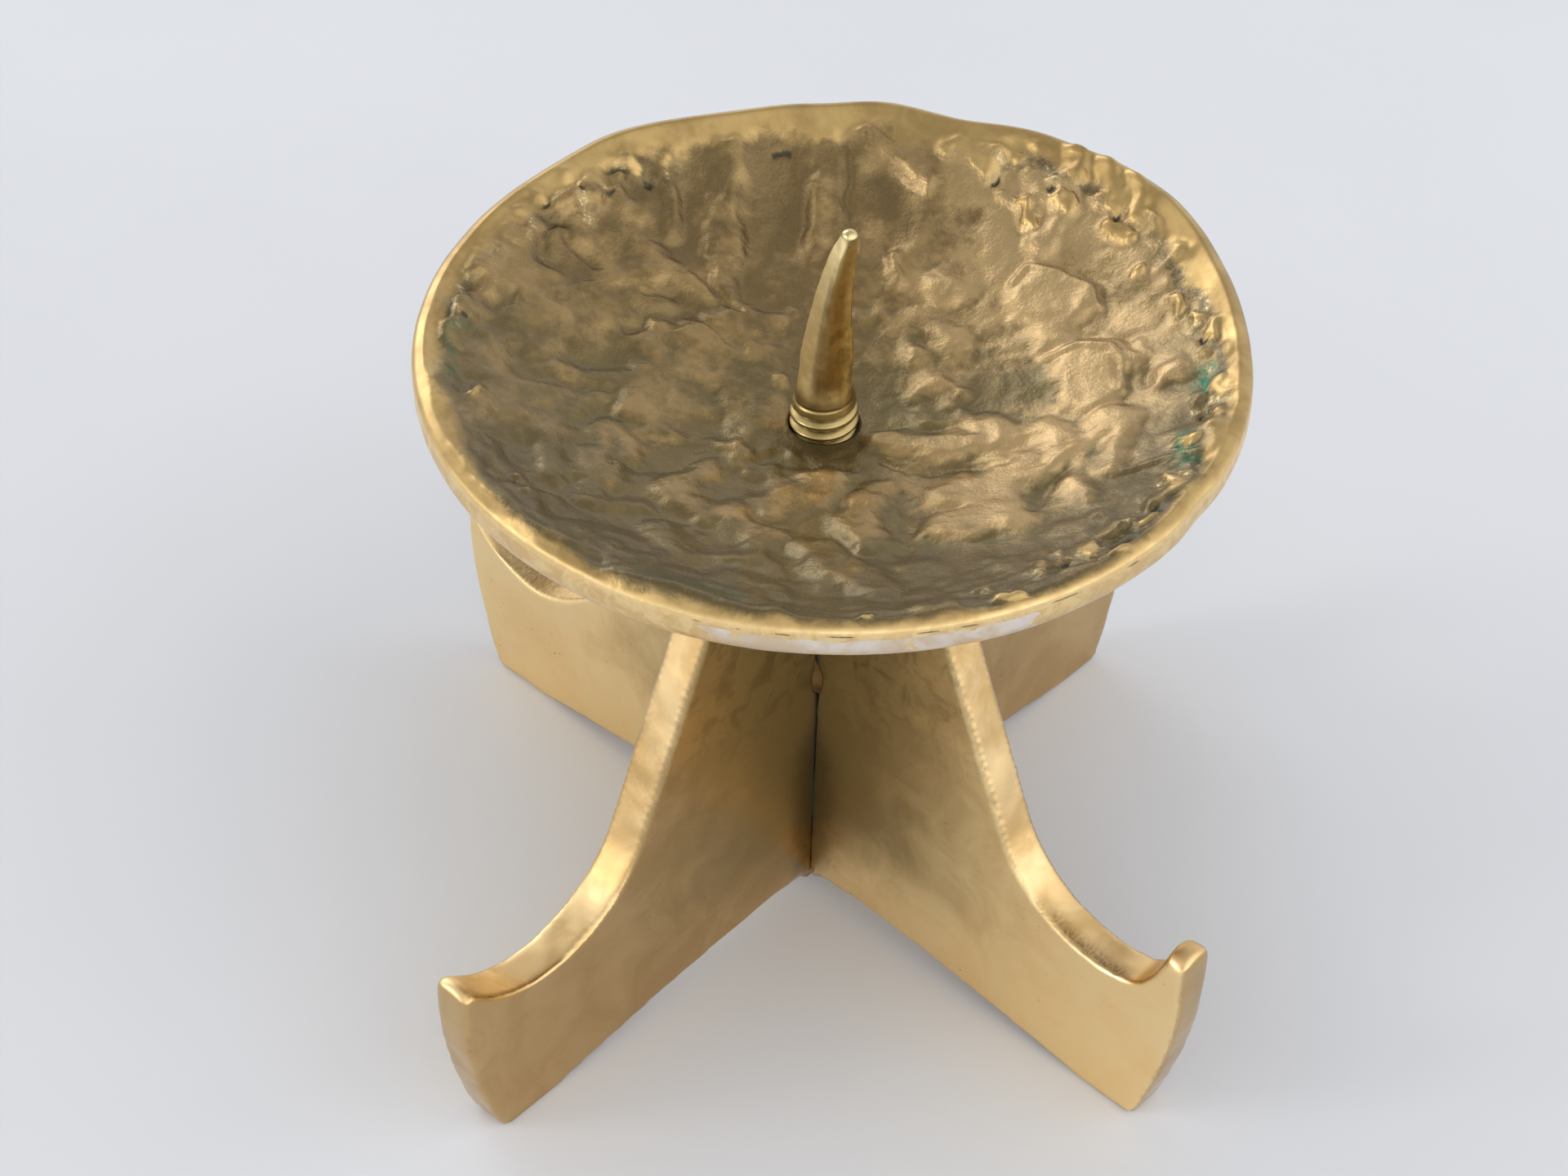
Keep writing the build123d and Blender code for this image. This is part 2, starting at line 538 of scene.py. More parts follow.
def pan_material():
    """Colour the pan: tan pads, darker recesses, dirt, verdigris, a polished lip, a pale rim and painted
    light and shade.
    """
    n = Nodes("cast_pan_patina")
    cloud = n.noise(7.0, 6, 0.6, 0.4)
    mottle = n.noise(2.4, 6, 0.65, 0.6)
    grain = n.noise(1.0, 5, 0.65)
    speck = n.noise(0.45, 3, 0.6)

    # worn also holds the painted shadow of the pricket and painted light on the right side
    raised = n.remap(n.ruffled(n.ruffled(n.value("worn"), mottle, 0.9), grain, 1.0), -0.1, 0.9)
    recess = n.mix(n.remap(cloud, 0.35, 0.7), linear(108, 94, 60), linear(118, 100, 63))
    recess = n.mix(n.value("brown"), recess, linear(120, 97, 60))
    tan = n.mix(n.remap(cloud, 0.3, 0.75), linear(146, 120, 75), linear(168, 139, 92))
    # Lighter towards the right: partly the patina's own tone, partly painted light on the side that
    # faces the light
    tan = n.mix(n.value("fair_and_lit"), tan, linear(182, 153, 106))
    colour = n.mix(raised, recess, tan)

    dull = n.times(n.value("grime"), n.remap(mottle, 0.3, 0.62))
    colour = n.mix(dull, colour, linear(94, 80, 50))
    # Dark in the hollows, with painted shade in the bore and at its mouth and the painted shadow of the
    # pricket
    dark = n.remap(n.ruffled(n.value("deep"), speck, 0.5), 0.35, 0.95)
    colour = n.mix(dark, colour, linear(62, 56, 38))
    crust = n.times(n.value("crust"), n.remap(grain, 0.45, 0.65, 0.0, 0.5))
    colour = n.mix(crust, colour, linear(74, 68, 42))
    # Painted highlights: pale glints painted on the crust
    glints = n.times(n.value("glint"), n.remap(speck, 0.5, 0.66, 0.15, 0.9))
    colour = n.mix(glints, colour, linear(236, 212, 158))
    verdigris = n.times(n.value("green"), n.remap(grain, 0.35, 0.6))
    colour = n.mix(verdigris, colour, linear(30, 100, 72))

    gold = n.mix(n.remap(cloud, 0.35, 0.7), linear(194, 163, 105), linear(162, 133, 82))
    side_gold = n.mix(n.remap(mottle, 0.4, 0.6), linear(242, 212, 154), linear(224, 190, 132))
    gold = n.mix(n.value("side"), gold, side_gold)
    shine = n.remap(n.ruffled(n.value("polish"), mottle, 1.1), 0.1, 0.95)
    clean = n.math("SUBTRACT", 1.0, n.times(dark, 0.8))
    colour = n.mix(n.times(shine, clean), colour, gold)
    # The front of the rim side is painted pale: partly its own worn pale metal, partly a painted
    # reflection of the pale table in front
    pale_metal_and_reflection = n.mix(n.remap(cloud, 0.4, 0.6), linear(238, 228, 216), linear(222, 200, 170))
    colour = n.mix(n.remap(n.ruffled(n.value("pale"), mottle, 0.5), 0.45, 0.6), colour, pale_metal_and_reflection)

    rough = n.blend(shine, n.remap(mottle, 0.3, 0.7, 0.22, 0.38), n.remap(cloud, 0.3, 0.7, 0.28, 0.4))
    dirty = n.math("MAXIMUM", dark, n.math("MAXIMUM", verdigris, dull))
    metal = n.blend(dirty, n.blend(shine, 0.75, 0.97), 0.6)
    n.shader.inputs["Specular IOR Level"].default_value = 0.35
    n.shader.inputs["Coat Weight"].default_value = 0.1
    n.shader.inputs["Coat Roughness"].default_value = 0.2
    texture = n.math("ADD", grain, n.times(speck, 0.5))
    n.bump(n.times(texture, n.blend(shine, 1.0, 0.05)), 0.2, 0.6)
    return n.finish(colour, rough, metal)


def leg_material():
    """Colour the plates: satin brass, brighter as painted light on faces towards the light, browner
    towards the crossing, partly as painted shade, with worn edges, small marks and painted shade in a
    hollow.
    """
    n = Nodes("leg_plate_brass")
    near = n.value("near")
    band = n.value("band")
    marks_and_shade = n.value("marks_and_shade")
    lit = n.value("lit")
    cloud = n.noise(9.0, 6, 0.6, 0.5)
    stain = n.noise(2.4, 6, 0.65, 1.2)
    smears = n.noise(3.4, 5, 0.6, 0.9)
    speck = n.noise(0.8, 4, 0.6)
    strokes = n.noise(0.2, 1, 0.5, 0.0, (1.0, 0.3, 0.4))

    colour = n.mix(n.remap(cloud, 0.35, 0.7), linear(208, 176, 124), linear(194, 160, 108))
    # Painted light: faces turned towards the light are painted a brighter brass
    bright = n.mix(n.remap(cloud, 0.35, 0.7), linear(255, 226, 168), linear(250, 216, 156))
    colour = n.mix(lit, colour, bright)
    # Darker and browner towards the crossing: partly patina, partly painted shade in the corner between
    # the plates
    colour = n.mix(n.remap(n.ruffled(near, cloud, 0.7), 0.05, 1.0), colour, linear(158, 138, 94))
    spots = n.times(n.remap(smears, 0.46, 0.66), n.value("upper"))
    colour = n.mix(n.times(spots, 0.45), colour, linear(88, 68, 34))
    # The smear round the joint: partly a brazing stain, partly painted shade low in the corner where the
    # plates meet
    smear = n.remap(n.ruffled(n.value("halo"), stain, 0.6), 0.15, 1.0, 0.0, 0.6)
    colour = n.mix(smear, colour, linear(100, 82, 50))
    colour = n.mix(n.times(n.value("joint"), 0.8), colour, linear(124, 128, 110))
    pits = n.times(n.remap(speck, 0.66, 0.74), n.remap(cloud, 0.45, 0.65))
    colour = n.mix(n.times(pits, 0.6), colour, linear(104, 78, 42))
    worn = n.mix(n.remap(cloud, 0.36, 0.64), linear(244, 214, 160), linear(214, 178, 120))
    colour = n.mix(n.times(band, 0.8), colour, worn)
    line = n.times(n.value("arris"), n.remap(stain, 0.45, 0.65, 0.0, 0.2))
    colour = n.mix(line, colour, linear(128, 98, 52))
    # Tool marks, and painted shade in the instep hollow and along the middle of the lower plate's band
    colour = n.mix(n.times(marks_and_shade, n.remap(strokes, 0.3, 0.7, 0.4, 0.8)), colour, linear(92, 72, 38))

    rough = n.blend(lit, n.remap(cloud, 0.3, 0.7, 0.14, 0.24), n.remap(cloud, 0.3, 0.7, 0.3, 0.4))
    rough = n.blend(n.times(near, 0.8), rough, 0.52)
    rough = n.blend(band, rough, 0.46)
    rough = n.blend(marks_and_shade, rough, 0.65)
    n.bump(stain, 0.05, 0.25)
    return n.finish(colour, rough, 1.0)


def rod_material():
    """Colour the pricket: filed brass, one flat brighter as painted light and one darker as painted
    shade, with dirt in the thread.
    """
    n = Nodes("filed_rod_brass")
    lit = n.value("lit")
    thread = n.value("thread")
    cloud = n.noise(3.0, 5, 0.6, 0.4)
    file_lines = n.noise(0.5, 4, 0.6, 0.0, (1.0, 1.0, 0.15))
    colour = n.mix(n.remap(cloud, 0.35, 0.7), linear(208, 191, 140), linear(182, 161, 108))
    # Painted light on the brighter flat
    colour = n.mix(lit, colour, linear(250, 228, 172))
    colour = n.mix(n.times(thread, 0.7), colour, linear(168, 144, 92))
    # Painted shade on the darker flat
    colour = n.mix(n.times(n.value("shade"), 0.7), colour, linear(134, 104, 58))
    colour = n.mix(n.times(n.value("root"), 0.85), colour, linear(62, 46, 18))
    rough = n.blend(lit, n.remap(file_lines, 0.3, 0.7, 0.18, 0.3), 0.45)
    rough = n.blend(thread, rough, 0.34)
    n.bump(file_lines, 0.07, 0.4)
    return n.finish(colour, rough, 1.0)


def turned_from(facing, middle):
    """Give the angle from a heading in degrees, from -pi to pi."""
    return (facing - radians(middle) + pi) % tau - pi


def pan_outline(heading):
    """Give the pan's radius at headings in its own axes."""
    radius = np.full(len(heading), PAN_RADIUS)
    for count, swing, middle in OUTLINE_WAVES:
        radius += swing * np.cos(count * (heading - radians(middle)))
    for middle, swing, spread in OUTLINE_DENTS:
        radius += swing * hump(turned_from(heading, middle), 0, radians(spread))
    return radius


def bowl(radius, bottom, curve):
    """Give the level of a round bowl at a radius."""
    return bottom + curve - np.sqrt(curve**2 - radius**2)


def pan_rings(compass, outline, crest):
    """Run rings of points round the pan, over its dish, lip, rim side, underside, boss and bore."""
    rings = []
    kinds = []

    def ring(kind, radius, level, to_outline=True):
        radius = np.full(PAN_SPOKES, radius)
        if to_outline:
            radius = radius * (1 + (outline / PAN_RADIUS - 1) * smooth(radius, ROUND_WITHIN, PAN_RADIUS))
        rings.append(np.column_stack([radius[:, None] * compass, np.full(PAN_SPOKES, level)]))
        kinds.append(kind)

    lifted = crest - bowl(CREST_RADIUS, DISH_BOTTOM, DISH_CURVE)
    for share in np.linspace(0, 1, DISH_RINGS):
        radius = MOUTH + (CREST_RADIUS - MOUTH) * share
        even = bowl(radius, DISH_BOTTOM, DISH_CURVE)
        ring("dish", radius, even + lifted * smooth(radius, EVEN_WITHIN, CREST_RADIUS))
    for share in np.linspace(0, 1, LIP_RINGS + 1)[1:]:
        radius = CREST_RADIUS + LIP_ROUND * sin(share * pi / 2)
        ring("lip", radius, LIP_OUT + (crest - LIP_OUT) * cos(share * pi / 2) ** 0.8)
    for share in (*np.linspace(0, 1, SIDE_RINGS + 1)[1:-1], 0.97, 1.0):
        radius = PAN_RADIUS + (RIM_FOOT_RADIUS - PAN_RADIUS) * share**3 + SIDE_SWELL * sin(pi * share)
        ring("side", radius, LIP_OUT + (RIM_FOOT - LIP_OUT) * share)
    rise = RIM_FOOT - UNDER_MIDDLE
    under_curve = (RIM_FOOT_RADIUS**2 + rise**2) / (2 * rise)
    boss_foot = BOSS_RADIUS + BOSS_FLARE
    boss_top = bowl(boss_foot, UNDER_MIDDLE, under_curve)
    for share in (0.004, *np.linspace(0, 1, UNDER_RINGS + 1)[1:]):
        radius = RIM_FOOT_RADIUS + (boss_foot - RIM_FOOT_RADIUS) * share
        ring("under", radius, bowl(radius, UNDER_MIDDLE, under_curve))
    for share in np.linspace(0, 1, BOSS_SIDE_RINGS + 1)[1:]:
        level = boss_top + (SEAT + BOSS_EASE - boss_top) * share
        ring("boss", BOSS_RADIUS + BOSS_FLARE * (1 - share) ** 2, level, False)
    for share in np.linspace(0, 1, BOSS_RINGS):
        ring("boss", BOSS_RADIUS - BOSS_EASE + (BORE - BOSS_RADIUS + BOSS_EASE) * share, SEAT, False)
    for share in np.linspace(0, 1, BORE_RINGS + 1)[1:]:
        ring("bore", BORE, SEAT + (DISH_BOTTOM - BORE_EASE - SEAT) * share, False)
    return np.concatenate(rings), np.repeat(kinds, PAN_SPOKES)


def pan_places(points, kind, outline, lip):
    """Say where each point of the pan lies, in the pan's axes, from its outline and on its lip."""
    at = SimpleNamespace(kind=kind, uv=points[:, :2].copy())
    at.flat = np.column_stack([at.uv, np.zeros(len(points))])
    at.radius = np.hypot(*at.uv.T)
    at.facing = np.arctan2(at.uv[:, 1], at.uv[:, 0])
    at.front = smooth(-np.sin(at.facing), -0.3, 0.7)
    at.top = (kind == "dish") | (kind == "lip")
    at.side = kind == "side"
    rings = len(points) // PAN_SPOKES
    at.inward = np.tile(outline, rings) - at.radius
    torn = (0.55 + 0.3 * np.sin(at.facing)) * fractal(at.flat, 4.5, 51, 4, 0.6)
    at.within_lip = np.tile(lip, rings) - at.inward + torn
    at.on_lip = smooth(at.within_lip, -1.2, 1.2)
    return at


def crusts(at):
    """Give the crusty belts below the lip."""
    crust = np.zeros(len(at.uv))
    for middle, spread, near, far in CRUSTS:
        off = np.abs(turned_from(at.facing, middle))
        belt = smooth(at.inward, near - 0.6, near + 0.6) * (1 - smooth(at.inward, far - 1.5, far + 1.5))
        crust = np.maximum(crust, belt * (1 - smooth(off, radians(spread - 8), radians(spread + 8))))
    return crust


def cast_relief(points, at):
    """Raise the dish's relief: pads, ridges and grooves, with lumps and pits along its border."""
    u, v = at.uv.T
    flat = at.flat
    warp = np.stack([fractal(flat, 5.3, 61, 3), fractal(flat, 5.3, 71, 3)], 1)
    at.bent = at.uv + (0.9 - 0.5 * smooth(u, 8, 22))[:, None] * warp
    lobes = smooth(v, 17, 23) * (1 - smooth(np.abs(u + 2), 16, 22))
    left = smooth(-u, -2, 16)
    lumps = 1.8 * fractal(flat, 6.5, 63, 3) - 0.9 + 1.6 * left - 3 * lobes
    merged = np.logaddexp(PAD_MERGE * depth_inside(at.bent, PADS), PAD_MERGE * lumps) / PAD_MERGE
    shelf = merged - 0.2 + 0.35 * fractal(flat, 3.6, 67, 2)
    at.pads = smooth(shelf, -1.2, 1.5)
    at.rims = hump(shelf, -0.6, 0.5)
    bent_flat = np.column_stack([at.bent, np.zeros(len(points))])
    coarse, fine = noise(bent_flat, 5.2, 83), noise(bent_flat, 2.8, 84)
    at.pebbles = np.hypot(coarse, 0.3) + 0.35 * np.hypot(fine, 0.35) - 0.55
    at.ridges = highest(at.bent, RIDGES)
    at.grooves = highest(at.bent, GROOVES)
    torn = np.stack([fractal(flat, 1.8, 73, 2), fractal(flat, 1.8, 77, 2)], 1)
    ragged = at.uv + 0.5 * warp + 0.5 * torn
    at.nodules = highest(ragged, NODULES, NODULE_WIDEN)
    at.pits = highest(ragged, PITS)
    at.crust = crusts(at)
    lumpy = noise(np.column_stack([ragged, at.radius]), 3.2, 91) + 0.2 * noise(flat, 1.2, 92)
    at.knobs = at.crust * smooth(lumpy, -0.1, 0.6)
    round_wall = np.column_stack([12 * np.cos(at.facing), 12 * np.sin(at.facing), at.radius])
    streaks = smooth(at.radius, 32, 40) * at.front * fractal(round_wall, 2.2, 87, 3)
    swirled = flat + 0.6 * np.column_stack([warp, warp[:, :1]])
    worms = left * (0.5 - np.hypot(fractal(swirled, 4.6, 81, 3), 0.15))
    relief = PAD_HEIGHT * at.pads - PAD_RIM_SINK * at.rims
    relief += RIDGE_SCALE * at.ridges - GROOVE_SCALE * at.grooves
    relief += PEBBLE_HEIGHT * at.pebbles * (1 - 0.6 * lobes)
    relief += WORM_HEIGHT * worms + STREAK_HEIGHT * streaks
    relief += SWAY_HEIGHT * fractal(flat, 9.0, 85, 2)
    relief += 0.05 * fractal(flat, 2.4, 93, 2) + 0.02 * fractal(flat, 1.1, 95, 2)
    at.relief = relief
    calm = (1 - at.on_lip) * smooth(at.radius, MOUTH + 0.3, MOUTH + 3)
    border = np.maximum(at.nodules, KNOB_HEIGHT * at.knobs) - CRUST_SINK * at.crust - at.pits
    border *= smooth(at.inward, 0.6, 2.4)
    lip_wave = LIP_RAISE * smooth(at.inward, 0.8, 2.0) + 0.05 * fractal(flat, 6.0, 97, 2)
    points[:, 2] += np.where(at.top, relief * calm + border + at.on_lip * lip_wave, 0)


def pan_looks(points, at):
    """Say how worn, dirty and polished the pan is at each point, and where light, shade and shadow are
    painted on it, for its material.
    """
    u, v = at.uv.T
    # Painted shadow of the pricket: stain is a band to its right, which makes the dish less tan and
    # darker there
    stain = hump(line_distance(at.bent, PAINTED_SHADOW), 0, PAINTED_SHADOW_WIDTH)
    worn = 0.7 * at.pads - 0.1 * at.rims + 0.5 * (at.ridges - at.grooves)
    worn += 0.6 * at.pebbles + 0.35 * at.nodules + 0.3 * fractal(at.flat, 2.6, 103, 3)
    # The first term lightens the right side: partly its own tone, partly painted light
    worn += 0.75 * smooth(u, -8, 26) + 0.35 * smooth(v, 6, 26) - 0.35
    # The painted shadow of the pricket takes the tan away along its band
    worn -= 0.4 * at.front * smooth(at.radius, 20, 34) + 0.5 * stain

    gilt = smooth(at.within_lip, -0.6 - 1.6 * smooth(np.sin(at.facing), -0.85, -0.3), 1.0)
    # Raised tops painted polished gold: partly rubbed wear, partly painted highlights on nodules, knobs
    # and ridges
    rubbed_and_highlit = np.maximum(0.85 * smooth(at.nodules, 0.25, 0.6), 0.2 * smooth(at.ridges, 0.2, 0.5))
    rubbed_and_highlit = np.maximum(rubbed_and_highlit, 0.35 * at.knobs)
    polish = np.where(at.top, np.maximum(gilt, rubbed_and_highlit), 0.0)
    polish = np.where(at.side, 1.5, polish)
    polish = np.where((at.kind == "under") | (at.kind == "boss"), 0.55, polish)

    foot_ring = hump(at.within_lip, -1.2, 1.0)
    foot_ring *= 0.4 + 0.6 * smooth(fractal(at.flat, 5.0, 53, 2), -0.1, 0.3)
    # The painted shadow of the pricket also darkens the dish here
    deep = 0.4 * smooth(-at.relief, 0.1, 0.5) + 0.3 * stain + 0.4 * foot_ring
    deep += smooth(at.pits, 0.1, 0.45) + 0.35 * (at.crust - at.knobs)
    deep = np.where(at.top, deep * (1 - smooth(at.nodules, 0.2, 0.5)), 0)
    # Painted shade: the bore is painted fully dark, and a thin ring round its mouth, in the gap round
    # the rod
    deep = np.where(at.kind == "bore", 1.0, deep)
    mouth_edge = 0.7 * (1 - smooth(at.radius, MOUTH, MOUTH + 0.3))
    deep = np.maximum(deep, np.where(at.top, mouth_edge, 0))

    drop = LIP_OUT - points[:, 2]
    low_edge = smooth(drop, 2.9, 3.3)
    nicks = smooth(fractal(np.column_stack([at.uv, 2 * points[:, 2]]), 2.2, 105, 3), 0.15, 0.5)
    line = hump(drop, 0, 0.16) * (0.5 + 0.5 * nicks) + nicks * low_edge
    line *= arc(at.facing % tau, *NICKED_ARC)
    deep = np.where(at.side | (at.kind == "lip"), np.maximum(deep, line), deep)
    # Pale front of the rim side: partly worn metal, partly a painted reflection
    pale = arc(at.facing % tau, *PALE_ARC) * smooth(drop, 0.3, 0.6) * (1 - low_edge)
    # Spots for the painted highlights on the crust
    sparks = smooth(noise(at.flat, 1.4, 107) + 0.5 * noise(at.flat, 0.8, 108), 0.35, 0.8)
    return {
        "worn": worn,
        "brown": 0.7 * smooth(v, 2, 22),
        "fair_and_lit": smooth(u, 2, 24),
        "deep": deep,
        "polish": polish,
        "grime": np.where(at.top, smooth(at.radius, 30, 40) * (0.25 + 0.75 * at.front), 0),
        "green": np.where(at.top, highest(at.bent, VERDIGRIS), 0),
        "pale": np.where(at.side, pale * (1 - 0.5 * nicks), 0),
        "side": np.where(at.kind == "lip", smooth(drop, -1.0, -0.2), at.side),
        "crust": np.where(at.top, at.crust, 0),
        "glint": np.where(at.top, at.crust * sparks, 0),
    }


def make_pan():
    """Rebuild the pan in its own axes, uneven and with its relief, and turn it into the frame."""
    heading = np.arange(PAN_SPOKES) * tau / PAN_SPOKES
    compass = np.stack([np.cos(heading), np.sin(heading)], 1)
    circle = np.column_stack([PAN_RADIUS * compass, np.zeros(PAN_SPOKES)])
    back = np.sin(heading)
    swollen = hump(heading, radians(SWELL_HEADING), radians(SWELL_SPREAD))
    outline = pan_outline(heading) + 0.06 * fractal(circle, 9.0, 11, 3)
    torn = (0.55 + 0.35 * back) * fractal(circle, 8.0, 21, 3)
    lip = np.maximum(LIP_WIDTH + LIP_BACK * back + LIP_SWELL * swollen + torn, LIP_LEAST)
    crest = LIP_CREST + CREST_BACK * back + CREST_SWELL * swollen + 0.1 * fractal(circle, 16.0, 31, 2)
    points, kind = pan_rings(compass, outline, crest)
    at = pan_places(points, kind, outline, lip)
    cast_relief(points, at)
    looks = pan_looks(points, at)

    chips = CHIP_DEPTH * fractal(np.column_stack([at.uv, 2 * points[:, 2]]), 7.0, 101, 3)
    points[:, :2] += np.where(at.side, chips / at.radius, 0)[:, None] * at.uv
    points[:, 2] += np.where(kind == "under", UNDER_ROUGHNESS * fractal(at.flat, 6.0, 111, 3), 0)
    turn = np.array([[cos(PAN_TURN), sin(PAN_TURN)], [-sin(PAN_TURN), cos(PAN_TURN)]])
    points[:, :2] = points[:, :2] @ turn
    faces = ring_faces(len(points) // PAN_SPOKES, PAN_SPOKES, True)
    pan = new_piece("cast_drip_pan", points, faces, pan_material(), "stand", "cast_pan", "drip_pan")
    add_values(pan, looks)


def thorn_radius(heading, width):
    """Give the radius of the filed thorn's section: four slightly uneven flats with eased corners."""
    sharp = np.zeros(len(heading))
    for middle, share in THORN_FACETS:
        reach = np.maximum(np.cos(heading - radians(middle)), 1e-3) / share
        sharp += reach**THORN_CORNER
    return width / 2 / sharp ** (1 / THORN_CORNER)


def rod_radius(level, share, heading):
    """Give the radius round the rod at a level: thread below, filed thorn above, chamfer at its end."""
    phase = (level / THREAD_PITCH - heading / tau) % 1
    swell = np.clip(1.25 - 2.5 * np.abs(phase - 0.5), 0, 1)
    thread = THREAD_ROOT + (ROD_RADIUS - THREAD_ROOT) * swell
    width = THORN_TIP_WIDTH + (THORN_BASE_WIDTH - THORN_TIP_WIDTH) * (1 - share)
    shoulder = 1 - smooth(level, THORN_BASE, THORN_BASE + THORN_SHOULDER)
    width += (2 * ROD_RADIUS - THORN_BASE_WIDTH) * shoulder
    facet = smooth(share, 0.08, 0.34) * (1 - 0.8 * smooth(share, 0.88, 0.97))
    thorn = (1 - facet) * width / 2 + facet * thorn_radius(heading, width)
    fade = 1 - smooth(level, THREAD_END - 3.3, THREAD_END - 0.9)
    radius = thorn - fade * np.maximum(thorn - thread, 0)
    chamfer = np.clip((level - ROD_END) / ROD_CHAMFER, 0, 1)
    return np.minimum(radius, THREAD_ROOT - 0.2 + 1.2 * chamfer)


def make_pricket():
    """Cut a thread on the foot of a rod and file the rest to a leaning, four-sided thorn."""
    heading = np.arange(ROD_SPOKES) * tau / ROD_SPOKES
    compass = np.stack([np.cos(heading + PAN_TURN), np.sin(heading + PAN_TURN)], 1)
    lean = np.array([cos(PAN_TURN), sin(PAN_TURN)])
    # Painted shade on one flat and painted light on another
    darker = smooth(np.cos(heading - radians(THORN_DARK)), 0.6, 0.92)
    brighter = smooth(np.cos(heading - radians(THORN_LIT)), 0.2, 0.75)
    low = np.arange(ROD_END, THREAD_END - THREAD_STEP / 2, THREAD_STEP)
    high = np.linspace(THREAD_END, THORN_TIP - TIP_ROUND, THORN_RINGS)
    rings = []
    looks = {"root": [], "shade": [], "lit": []}
    for level in np.concatenate([low, high]):
        share = np.clip((level - THORN_BASE) / (THORN_TIP - THORN_BASE), 0, 1)
        radius = rod_radius(level, share, heading)
        centre = lean * THORN_LEAN * share**3
        rings.append(np.column_stack([centre + radius[:, None] * compass, np.full(ROD_SPOKES, level)]))
        hollow = 0.75 - (radius - THREAD_ROOT) / (ROD_RADIUS - THREAD_ROOT)
        threaded = 1 - smooth(level, THREAD_END - 1.8, THREAD_END - 0.6)
        looks["root"].append(smooth(hollow, 0.2, 0.75) * threaded)
        shaded_span = smooth(level, THREAD_END - 1, THREAD_END + 1) * (1 - 0.8 * smooth(share, 0.7, 0.9))
        looks["shade"].append(darker * shaded_span)
        looks["lit"].append(brighter * smooth(level, THREAD_END - 2, THREAD_END))
    tip = rings[-1].mean(0)
    body = rings[-1] - tip
    for turn in np.radians(TIP_TURNS):
        rings.append(tip + body * cos(turn) + np.array([0, 0, TIP_ROUND * sin(turn)]))
        for amounts in looks.values():
            amounts.append(np.zeros(ROD_SPOKES))
    points = np.concatenate(rings)
    count = len(rings)
    dents = fractal(points, 2.5, 121, 3)
    middle = np.repeat([r.mean(0) for r in rings], ROD_SPOKES, axis=0)
    above = smooth(points[:, 2], THREAD_END - 2, THREAD_END + 1)
    points[:, :2] += ((points - middle) * (0.04 * dents * above)[:, None])[:, :2]
    faces = ring_faces(count, ROD_SPOKES, False)
    faces.append(tuple(reversed(range(ROD_SPOKES))))
    faces.append(tuple(range((count - 1) * ROD_SPOKES, count * ROD_SPOKES)))
    brass = rod_material()
    rod = new_piece("threaded_pricket", points, faces, brass, "pricket", "filed_rod", "pricket")
    add_values(rod, {name: np.concatenate(amounts) for name, amounts in looks.items()})
    add_values(rod, {"thread": 1 - above})


def even_mesh(node):
    """Give a plate's solid as a fine, even mesh, with its points in millimetres and its normals."""
    draft = bpy.data.objects.new(node + "_draft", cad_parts[node].data.copy())
    bpy.context.scene.collection.objects.link(draft)
    remesh = draft.modifiers.new("even", "REMESH")
    remesh.mode = "VOXEL"
    remesh.voxel_size = PLATE_VOXEL * MM
    bpy.context.view_layer.update()
    mesh = bpy.data.meshes.new_from_object(draft.evaluated_get(bpy.context.evaluated_depsgraph_get()))
    bpy.data.objects.remove(draft)
    points = np.zeros(len(mesh.vertices) * 3)
    normals = np.zeros(len(mesh.vertices) * 3)
    mesh.vertices.foreach_get("co", points)
    mesh.vertices.foreach_get("normal", normals)
    return mesh, points.reshape(-1, 3) / MM, normals.reshape(-1, 3)


def softened(points, mesh, amount, passes):
    """Move each point towards the middle of its neighbours by its amount, several times over."""
    ends = np.zeros(len(mesh.edges) * 2, int)
    mesh.edges.foreach_get("vertices", ends)
    first, second = ends.reshape(-1, 2).T
    count = np.bincount(ends, minlength=len(points))
    for _ in range(passes):
        total = np.zeros_like(points)
        np.add.at(total, first, points[second])
        np.add.at(total, second, points[first])
        points = points + 0.6 * amount[:, None] * (total / count[:, None] - points)
    return points


def work_toes(points, normals, mesh, across):
    """Soften and dome the toes; the upper plate has one taller toe and one deeper instep."""
    along = 1 - across
    toe = smooth(np.abs(points[:, along]), *TOE_ENDS) * smooth(points[:, 2], 4, 9)
    toe *= 0.35 + 0.65 * smooth(points[:, 2], *TOE_TOP)
    if across == UPPER:
        hollow = hump(points[:, along], DIP_PLACE, 10) * smooth(points[:, 2], 11, 22)
        points[:, 2] -= INSTEP_DIP * hollow * (1 - smooth(points[:, 2], 28, 31))
        thinner = smooth(-points[:, along], 51, 55) * smooth(normals[:, along], 0.1, 0.5)
        points[:, along] -= TOE_THINNER * thinner * (1 - smooth(points[:, 2], *TOE_TOP))
        toe = np.maximum(toe, 0.5 * hollow)
    points = softened(points, mesh, toe, TOE_PASSES)
    dome = smooth(points[:, 2], 25, 30) * smooth(np.abs(points[:, along]), *TOE_ENDS)
    points[:, 2] -= TOE_DOMES[across] * dome * (points[:, across] / PLATE_HALF) ** 2
    if across == UPPER:
        curl = smooth(points[:, along], 53, 60.5)
        inner = smooth(-normals[:, along], 0.0, 0.6) * smooth(points[:, 2], 24, 29)
        points[:, 2] += TOE_CURL * curl * smooth(points[:, 2], 14, 28)
        points[:, along] -= (TOE_SHORTER + TOE_FULLER * inner) * curl
    return points


